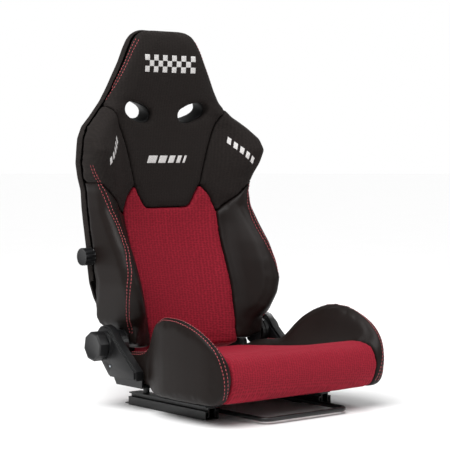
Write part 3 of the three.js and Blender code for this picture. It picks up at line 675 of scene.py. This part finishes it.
# Points of the sitter's left half that the foam reaches beyond the frame node, below and beside the recliner.
# Each list is the corners of one convex block. They clear the cushion at every angle of the back.
BOLSTER_FOAM = [
    [
        (150, 44, 146), (208, 14, 150), (208, 112, 146), (150, 112, 146),
        (150, 42, 176), (208, 6, 192), (208, 124, 192), (150, 124, 176),
    ],
    [
        (146, 97, 104), (208, 97, 104), (208, 120, 104), (146, 120, 104),
        (146, 97, 160), (208, 97, 160), (208, 120, 160), (146, 120, 160),
    ],
    [
        (204, 100, 104), (231, 100, 104), (231, 120, 104), (204, 120, 104),
        (204, 100, 123), (231, 100, 123), (231, 120, 140), (204, 120, 140),
    ],
]
BOLSTER_FLANK = [(224, 10, 212), (230, 60, 208), (234, 148, 212), (230, 140, 196), (224, 60, 200)]
FLANK_INNER, FLANK_TOP = 0.198, 0.335  # the part of a bolster that its flank is drawn round
INSERT_FOOT, INSERT_DROP = 0.1405, 0.009  # the insert's flat foot, and how far it is drawn down
INSERT_FOAM = [
    [(149, 46, 131), (149, 50, 150), (149, 92, 113), (149, 92, 150)],
    [(149, 97, 104), (149, 120, 104), (149, 120, 160), (149, 97, 160)],
]


def foam(points, name):
    """A convex block of foam round the points."""
    mesh = bpy.data.meshes.new(name)
    mesh.from_pydata(points, [], [])
    block = bpy.data.objects.new(name, mesh)
    bpy.context.scene.collection.objects.link(block)
    edit(block)
    bpy.ops.mesh.convex_hull()
    pick(block)
    return block


def fill_out(pad, name):
    """Joins the foam that a frame node leaves out.

    It lies round the recliner's shaft, below it and beside its bracket.
    """
    if name.startswith("back_insert"):
        plug = turned_disc(bpy.context, 0, PIVOT_Y, PIVOT_Z, 292, 11, 24)
        edit(pad)
        choose(pad, lambda at, normal, i: normal.z < -0.95 and at.z < INSERT_FOOT)
        bpy.ops.mesh.extrude_region_move(TRANSFORM_OT_translate={"value": (0, 0, -INSERT_DROP)})
        pick(pad)
        feet = [foam(on_side(block, -1) + on_side(block, 1), "foot") for block in INSERT_FOAM]
        join([pad, plug] + feet, name)
    elif name.startswith("back_bolster"):
        sign = SIDES[name.rsplit("_", 1)[1]]
        feet = [foam(on_side(block, sign), "foot") for block in BOLSTER_FOAM]
        beside = [
            v.co.copy()
            for v in pad.data.vertices
            if sign * (v.co.x - MIDDLE) > FLANK_INNER and v.co.z < FLANK_TOP
        ]
        flank = foam(beside + on_side(BOLSTER_FLANK, sign), "flank")
        join([pad, flank] + feet, name)


def swell(context, pad, pressure, most, frames):
    """Lets foam pressure push the cover out as cloth, no point further than most."""
    rest = [(v.co.copy(), v.normal.copy()) for v in pad.data.vertices]
    cloth = pad.modifiers.new("Cloth", "CLOTH")
    cloth.settings.quality = 3
    cloth.settings.mass = 0.3
    cloth.settings.use_pressure = True
    cloth.settings.uniform_pressure_force = pressure
    cloth.settings.tension_stiffness = 12
    cloth.settings.compression_stiffness = 12
    cloth.settings.bending_stiffness = 0.4
    cloth.settings.effector_weights.gravity = 0
    cloth.point_cache.frame_start = 1
    cloth.point_cache.frame_end = frames
    for number in range(1, frames + 1):
        context.scene.frame_set(number)
    shaped = pad.evaluated_get(context.evaluated_depsgraph_get()).to_mesh()
    moved = [v.co.copy() for v in shaped.vertices]
    pad.modifiers.remove(cloth)
    context.scene.frame_set(1)
    for vertex, (before, outward), after in zip(pad.data.vertices, rest, moved):
        push = after - before
        if push.length > most:
            push = push.normalized() * most
        # The foam doesn't let its cover sink, so the joints between panels stay shut.
        vertex.co = before + push - outward * min(push.dot(outward), 0)


def sew(pad, line, depth, reach):
    """Presses a seam into the pad along the line."""
    near = KDTree(len(line))
    for i, point in enumerate(line):
        near.insert(point, i)
    near.balance()
    for vertex in pad.data.vertices:
        _, _, distance = near.find(vertex.co)
        if distance < reach:
            vertex.co -= vertex.normal * depth * (1 - (distance / reach) ** 2) ** 2


class SEAT_OT_pads(bpy.types.Operator):
    """Upholsters the back and the cushion: each foam panel swells into its sewn cover"""

    bl_idname = "seat.pads"
    bl_label = "Padded panels"

    def execute(self, context):
        settings = context.scene.seat_pads
        for node, (name, *_) in PADS.items():
            pad = copy_of(node, name)
            fill_out(pad, name)
            apply_modifier(pad, "REMESH", mode="VOXEL", voxel_size=settings.voxel, adaptivity=0)
            edit(pad)
            bpy.ops.transform.shrink_fatten(value=-TUCK)
            bpy.ops.mesh.vertices_smooth(factor=0.5, repeat=3)
            pick(pad)
            swell(context, pad, FOAM_PRESSURE, settings.swell, settings.frames)
            edit(pad)
            bpy.ops.mesh.vertices_smooth(factor=0.5, repeat=2)
            pick(pad)
            apply_modifier(pad, "SUBSURF", levels=1, render_levels=1)
            done(pad, name, 180)
        for seam in SEAMS:
            for side in SIDES:
                line = seam_points(seam, side)
                for pad in seam_pads(seam, side):
                    sew(pad, line, SEAM_DEPTH, SEAM_REACH)
        for node, (name, body, slot, cloth, fill) in PADS.items():
            pad = bpy.data.objects[name]
            finish_piece(pad, body, slot, finish(cloth), node)
        return {"FINISHED"}


# The back cover's seams: across and up from the seat's middle and the floor.
COVER_SEAM = [(140, 172), (150, 300), (158, 420), (150, 540), (128, 640), (70, 700)]
COVER_CROSS_SEAM = [(x, 700 + (70 - abs(x)) * 0.1) for x in range(-70, 71, 14)]


class SEAT_OT_back_cover(bpy.types.Operator):
    """Covers the back with cloth over its shell, with its sewn seams"""

    bl_idname = "seat.back_cover"
    bl_label = "Back cover"

    def execute(self, context):
        cover = copy_of("back_cover", "back_cover_cloth")
        apply_modifier(cover, "REMESH", mode="VOXEL", voxel_size=COVER_VOXEL, adaptivity=0)
        edit(cover)
        bpy.ops.mesh.vertices_smooth(factor=0.5, repeat=6)
        pick(cover)
        done(cover, "back_cover_cloth", 180)
        tree = surface(cover)
        routes = [[(sign * x, z) for x, z in COVER_SEAM] for sign in SIDES.values()]
        routes.append(COVER_CROSS_SEAM)
        seams = [smooth_line([self.behind(tree, x, z) for x, z in route], LINE_STEP) for route in routes]
        for seam in seams:
            sew(cover, seam, COVER_SEAM_DEPTH, COVER_SEAM_REACH)
        finish_piece(cover, "backrest", "black_cloth", finish("black mesh"), "back_cover")

        stitches(context, "back_cover_stitches", [(seam, tree) for seam in seams], 0.0, "backrest")
        return {"FINISHED"}

    @staticmethod
    def behind(tree, x, z):
        start = place(x, 400, z)
        hit = tree.ray_cast(start, Vector((0, -1, 0)))[0]
        if hit is None:
            raise RuntimeError("no back cover behind this point")
        return hit


# ---------------------------------------------------------------- stitching and embroidery


STITCH = (0.0031, 0.00075, 0.0006)  # half its length, width and height
STITCH_LIFT = 0.0002
STRAY = 0.02  # a stitch that lands further than this from its line is left out


def stitches(context, name, lines, row, body):
    """Copies one thread stitch along each line, in two rows when row is given."""
    pitch = context.scene.seat_pads.stitch_pitch
    pick()
    bpy.ops.mesh.primitive_uv_sphere_add(segments=8, ring_count=6, radius=1)
    model = context.object
    edit(model)
    bpy.ops.transform.resize(value=STITCH)
    pick(model)
    bpy.ops.object.shade_smooth()
    made = bmesh.new()
    for line, tree in lines:
        spaced = smooth_line(line[::6] + [line[-1]], pitch)
        for a, b in zip(spaced, spaced[1:]):
            middle = (a + b) / 2
            on, normal, _, _ = tree.find_nearest(middle)
            along = (b - a).normalized()
            side = normal.cross(along).normalized()
            for shift in (-row / 2, row / 2) if row else (0.0,):
                spot, up, _, _ = tree.find_nearest(on + side * shift)
                if (spot - middle).length > STRAY:
                    continue
                flat = (along - up * along.dot(up)).normalized()
                turn = Matrix((flat, up.cross(flat), up)).transposed().to_4x4()
                start = len(made.verts)
                made.from_mesh(model.data)
                made.verts.ensure_lookup_table()
                bmesh.ops.transform(
                    made,
                    matrix=Matrix.Translation(spot + up * STITCH_LIFT) @ turn,
                    verts=made.verts[start:],
                )
    mesh = bpy.data.meshes.new(name)
    made.to_mesh(mesh)
    made.free()
    bpy.data.objects.remove(model)
    piece = bpy.data.objects.new(name, mesh)
    context.scene.collection.objects.link(piece)
    finish_piece(done(piece, name, 180), body, "red_cloth", finish("red thread"))


class SEAT_OT_stitching(bpy.types.Operator):
    """Sews the red double topstitch along the bolsters, the head and the rear of the cushion"""

    bl_idname = "seat.stitching"
    bl_label = "Topstitching"

    def execute(self, context):
        row = context.scene.seat_pads.stitch_row
        for seam, body in (
            ("back_bolster", "backrest"),
            ("thigh_bolster", "seat_base"),
            ("seat_rear", "seat_base"),
            ("head_edge", "backrest"),
        ):
            for side in SIDES:
                tree = surface(*seam_pads(seam, side))
                stitches(context, f"{seam}_stitches_{side}", [(seam_points(seam, side), tree)], row, body)
        return {"FINISHED"}


def embroider(context, name, cells, pads):
    """Sews flat white cells, given by their corners across and up, onto the front of the pads."""
    tree = surface(*[bpy.data.objects[pad] for pad in pads])
    pieces = []
    for corners in cells:
        pick()
        bpy.ops.mesh.primitive_grid_add(x_subdivisions=8, y_subdivisions=6, size=2)
        cell = context.object
        low_left, low_right, high_right, high_left = [Vector(c) for c in corners]
        for vertex in cell.data.vertices:
            s, t = (vertex.co.x + 1) / 2, (vertex.co.y + 1) / 2
            flat = low_left.lerp(low_right, s).lerp(high_left.lerp(high_right, s), t)
            hit, normal, _, _ = tree.ray_cast(place(flat.x, -200, flat.y), Vector((0, 1, 0)))
            if hit is None:
                raise RuntimeError(f"{name}: no pad under the embroidery")
            edge = min(s, 1 - s, t, 1 - t)
            vertex.co = hit + normal * (0.0003 if edge < 0.01 else 0.0009)
        pieces.append(cell)
    piece = join(pieces, name)
    edit(piece)
    bpy.ops.mesh.normals_make_consistent(inside=False)
    pick(piece)
    if piece.data.polygons[0].normal.y > 0:
        piece.data.flip_normals()
    apply_modifier(piece, "SOLIDIFY", thickness=0.0007, offset=-1)
    finish_piece(done(piece, name, 60), "backrest", "black_cloth", finish("white thread"))


class SEAT_OT_embroidery(bpy.types.Operator):
    """Embroiders a chequered band on the head and slanted bars on the chest and wings"""

    bl_idname = "seat.embroidery"
    bl_label = "Embroidery"

    def execute(self, context):
        size = 14.8
        squares = []
        for row in range(3):
            for column in range(11):
                if (row + column) % 2 == 0:
                    x = (column - 5.5) * size
                    z = 834 + row * size
                    squares.append([(x, z), (x + size, z), (x + size, z + size), (x, z + size)])
        embroider(context, "head_chequer", squares, ["head_and_chest_pad"])
        widths = (30, 24, 18, 12, 7)
        bars = []
        for i, width in enumerate(widths):
            x = -66 + sum(widths[:i]) + i * 8
            bars.append([(x, 600), (x + width, 600), (x + width + 8, 619), (x + 8, 619)])
        embroider(context, "chest_bars", bars, ["head_and_chest_pad"])
        for side, sign in SIDES.items():
            slashes = []
            for i in range(5):
                x, z = 180 + i * 11.5, 668 - i * 12.5
                corners = [(x - 3, z - 15), (x + 4, z - 22), (x + 8, z - 6), (x + 1, z + 1)]
                slashes.append([(sign * a, b) for a, b in corners])
            embroider(context, f"wing_slashes_{side}", slashes, [f"shoulder_wing_pad_{side}"])
        return {"FINISHED"}


# ---------------------------------------------------------------- recliner trim and knobs


def turned_disc(context, x, y, z, depth, radius, vertices):
    """A disc across the seat, centred at x, y, z."""
    pick()
    bpy.ops.mesh.primitive_cylinder_add(
        vertices=vertices,
        radius=radius / 1000,
        depth=depth / 1000,
        location=place(x, y, z),
        rotation=(0, math.pi / 2, 0),
    )
    piece = context.object
    bpy.ops.object.transform_apply(location=True, rotation=True, scale=True)
    return piece


class SEAT_OT_recliner(bpy.types.Operator):
    """Makes the recliner's side covers, its eight-sided knob and the cover screws"""

    bl_idname = "seat.recliner"
    bl_label = "Recliner covers and knob"

    def execute(self, context):
        for side, sign in SIDES.items():
            node = f"recliner_cover_{side}"
            name = f"recliner_cover_shell_{side}"
            shell = copy_of(node, name)
            edit(shell)
            bpy.ops.mesh.dissolve_limited(angle_limit=math.radians(3))
            pick(shell)
            apply_modifier(
                shell, "BEVEL", width=0.0016, segments=3, limit_method="ANGLE", angle_limit=math.radians(28)
            )
            finish_piece(done(shell, name, 35), "seat_base", "black_plastic", finish("plastic"), node)
            screw = done(self.screw(context, sign), f"cover_screw_head_{side}")
            finish_piece(screw, "seat_base", "zinc", finish("zinc"), f"cover_screw_{side}")
        dial = done(self.knob(context), "recline_dial")
        finish_piece(dial, "recline_drive", "black_plastic", finish("knob plastic"), "recline_knob")
        return {"FINISHED"}

    @staticmethod
    def screw(context, sign):
        """A small pan-head screw with a round recess."""
        head = turned_disc(context, sign * 267.5, 36, 104, 2.6, 3.4, 20)
        edit(head)
        choose(head, lambda at, normal, i: normal.x * sign > 0.9)
        bpy.ops.mesh.inset(thickness=0.0012, depth=0.0006)
        bpy.ops.mesh.inset(thickness=0.0006, depth=-0.0009)
        pick(head)
        return head

    @staticmethod
    def knob(context):
        """An eight-sided dial with a dished face, on a round collar."""
        across, turn = -290, math.radians(11)
        dial = turned_disc(context, across, PIVOT_Y, PIVOT_Z, 26, 37, 8)
        edit(dial)
        bpy.ops.transform.rotate(
            value=turn, orient_axis="X", center_override=place(across, PIVOT_Y, PIVOT_Z)
        )
        choose(dial, lambda at, normal, i: normal.x < -0.9)
        bpy.ops.mesh.inset(thickness=0.005, depth=0)
        bpy.ops.transform.translate(value=(-0.0005, 0, 0))
        bpy.ops.mesh.inset(thickness=0.0055, depth=-0.0018)
        choose(dial, lambda at, normal, i: normal.x > 0.9)
        bpy.ops.mesh.inset(thickness=0.006, depth=0)
        bpy.ops.mesh.extrude_region_move(TRANSFORM_OT_translate={"value": (0.004, 0, 0)})
        pick(dial)
        apply_modifier(
            dial, "BEVEL", width=0.0022, segments=3, limit_method="ANGLE", angle_limit=math.radians(20)
        )
        collar = turned_disc(context, -266, PIVOT_Y, PIVOT_Z, 22, 13.6, 40)
        return join([dial, collar], "recline_dial")


class SEAT_OT_lumbar_knob(bpy.types.Operator):
    """Makes the ribbed knob of the lumbar support"""

    bl_idname = "seat.lumbar_knob"
    bl_label = "Lumbar knob"

    def execute(self, context):
        low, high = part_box("lumbar_knob")
        middle = (low + high) / 2
        pick()
        bpy.ops.mesh.primitive_cylinder_add(
            vertices=48,
            radius=(high.z - low.z) / 2,
            depth=high.x - low.x,
            location=middle,
            rotation=(0, math.pi / 2, 0),
        )
        knob = context.object
        bpy.ops.object.transform_apply(location=True, rotation=True, scale=True)
        edit(knob)
        ribs = sorted(
            (f.index for f in bmesh.from_edit_mesh(knob.data).faces if abs(f.normal.x) < 0.5),
            key=lambda i: self.angle(knob, i, middle),
        )
        grooves = set(ribs[::4]) | set(ribs[1::4])
        choose(knob, lambda at, normal, i: i in grooves)
        bpy.ops.mesh.inset(thickness=0.0009, depth=-0.0016)
        choose(knob, lambda at, normal, i: normal.x < -0.9)
        bpy.ops.mesh.inset(thickness=0.003, depth=0.0)
        bpy.ops.mesh.inset(thickness=0.0015, depth=-0.0012)
        pick(knob)
        apply_modifier(
            knob, "BEVEL", width=0.0007, segments=2, limit_method="ANGLE", angle_limit=math.radians(35)
        )
        done(knob, "lumbar_knob_ribbed")
        finish_piece(knob, "lumbar_drive", "black_plastic", finish("knob plastic"), "lumbar_knob")
        return {"FINISHED"}

    @staticmethod
    def angle(knob, index, middle):
        mesh = bmesh.from_edit_mesh(knob.data)
        mesh.faces.ensure_lookup_table()
        at = mesh.faces[index].calc_center_median() - middle
        return math.atan2(at.z, at.y)


# ---------------------------------------------------------------- running gear


class SEAT_OT_running_gear(bpy.types.Operator):
    """Makes the bent release bar, softens the sleeves' edges and finishes the steel parts"""

    bl_idname = "seat.running_gear"
    bl_label = "Sliders, release bar and steel parts"

    def execute(self, context):
        self.release_bar(context)
        for side in SIDES:
            name = f"harness_sleeve_lined_{side}"
            sleeve = copy_of(f"harness_sleeve_{side}", name)
            edit(sleeve)
            bpy.ops.mesh.dissolve_limited(angle_limit=math.radians(2))
            pick(sleeve)
            apply_modifier(
                sleeve, "BEVEL", width=0.0011, segments=3, limit_method="ANGLE", angle_limit=math.radians(50)
            )
            done(sleeve, name, 40)
            lining = finish("sleeve plastic")
            finish_piece(sleeve, "backrest", "black_plastic", lining, f"harness_sleeve_{side}")
        for name, thing in frame["nodes"].items():
            if thing.hide_render:
                continue
            if name.startswith(("mount_bolt", "spacer_front", "cover_screw")):
                metal_finish = "zinc"
            elif name.startswith(("recline_shaft", "lumbar_shaft", "ball_cage", "latch")):
                metal_finish = "steel"
            elif name.startswith("lumbar_paddle"):
                metal_finish = "plastic"
            else:
                metal_finish = "black paint"
            thing.data.materials.clear()
            thing.data.materials.append(finish(metal_finish))
        return {"FINISHED"}

    @staticmethod
    def release_bar(context):
        """The steel bar is bent once at each front corner and welded to its shaft."""
        reach, front, rear, height, corner = 130, -388, -97.6, 12, 22
        points = [(reach, rear)]
        for k in range(9):
            angle = math.pi / 2 * k / 8
            points.append(
                (reach - corner + corner * math.cos(angle), front + corner - corner * math.sin(angle))
            )
        full = points + [(-x, y) for x, y in reversed(points)]
        curve = bpy.data.curves.new("release_bar", "CURVE")
        curve.dimensions = "3D"
        curve.bevel_depth = 0.0055
        curve.bevel_resolution = 5
        curve.use_fill_caps = True
        spline = curve.splines.new("POLY")
        spline.points.add(len(full) - 1)
        for point, (x, y) in zip(spline.points, full):
            point.co = (*place(x, y, height), 1)
        bar = bpy.data.objects.new("release_bar", curve)
        context.scene.collection.objects.link(bar)
        pick(bar)
        bpy.ops.object.convert(target="MESH")
        bar = done(context.object, "release_bar", 50)
        finish_piece(bar, "release_handle", "black_paint", finish("black paint"), "handle_bar")


# ---------------------------------------------------------------- add-on

SETTINGS = {
    "seat_stage": SeatStageSettings,
    "seat_cloth": SeatClothSettings,
    "seat_pads": SeatPadSettings,
}
OPERATORS = (
    SEAT_OT_stage,
    SEAT_OT_pads,
    SEAT_OT_back_cover,
    SEAT_OT_stitching,
    SEAT_OT_embroidery,
    SEAT_OT_recliner,
    SEAT_OT_lumbar_knob,
    SEAT_OT_running_gear,
)


class SEAT_PT_looks(bpy.types.Panel):
    """Sizes and colours of the seat, and a button for each group of its pieces"""

    bl_idname = "SEAT_PT_looks"
    bl_label = "Sport seat"
    bl_space_type = "VIEW_3D"
    bl_region_type = "UI"
    bl_category = "Seat"

    def draw(self, context):
        for name in SETTINGS:
            box = self.layout.box()
            group = getattr(context.scene, name)
            for prop in group.bl_rna.properties:
                if prop.identifier not in ("rna_type", "name"):
                    box.prop(group, prop.identifier)
        for operator in OPERATORS:
            self.layout.operator(operator.bl_idname)


def register():
    for name, settings in SETTINGS.items():
        bpy.utils.register_class(settings)
        setattr(bpy.types.Scene, name, PointerProperty(type=settings))
    for operator in OPERATORS:
        bpy.utils.register_class(operator)
    bpy.utils.register_class(SEAT_PT_looks)


def unregister():
    bpy.utils.unregister_class(SEAT_PT_looks)
    for operator in reversed(OPERATORS):
        bpy.utils.unregister_class(operator)
    for name, settings in SETTINGS.items():
        delattr(bpy.types.Scene, name)
        bpy.utils.unregister_class(settings)


def main():
    register()
    bpy.ops.seat.stage()
    bpy.ops.seat.pads()
    bpy.ops.seat.back_cover()
    bpy.ops.seat.stitching()
    bpy.ops.seat.embroidery()
    bpy.ops.seat.recliner()
    bpy.ops.seat.lumbar_knob()
    bpy.ops.seat.running_gear()


if __name__ == "__main__":
    main()
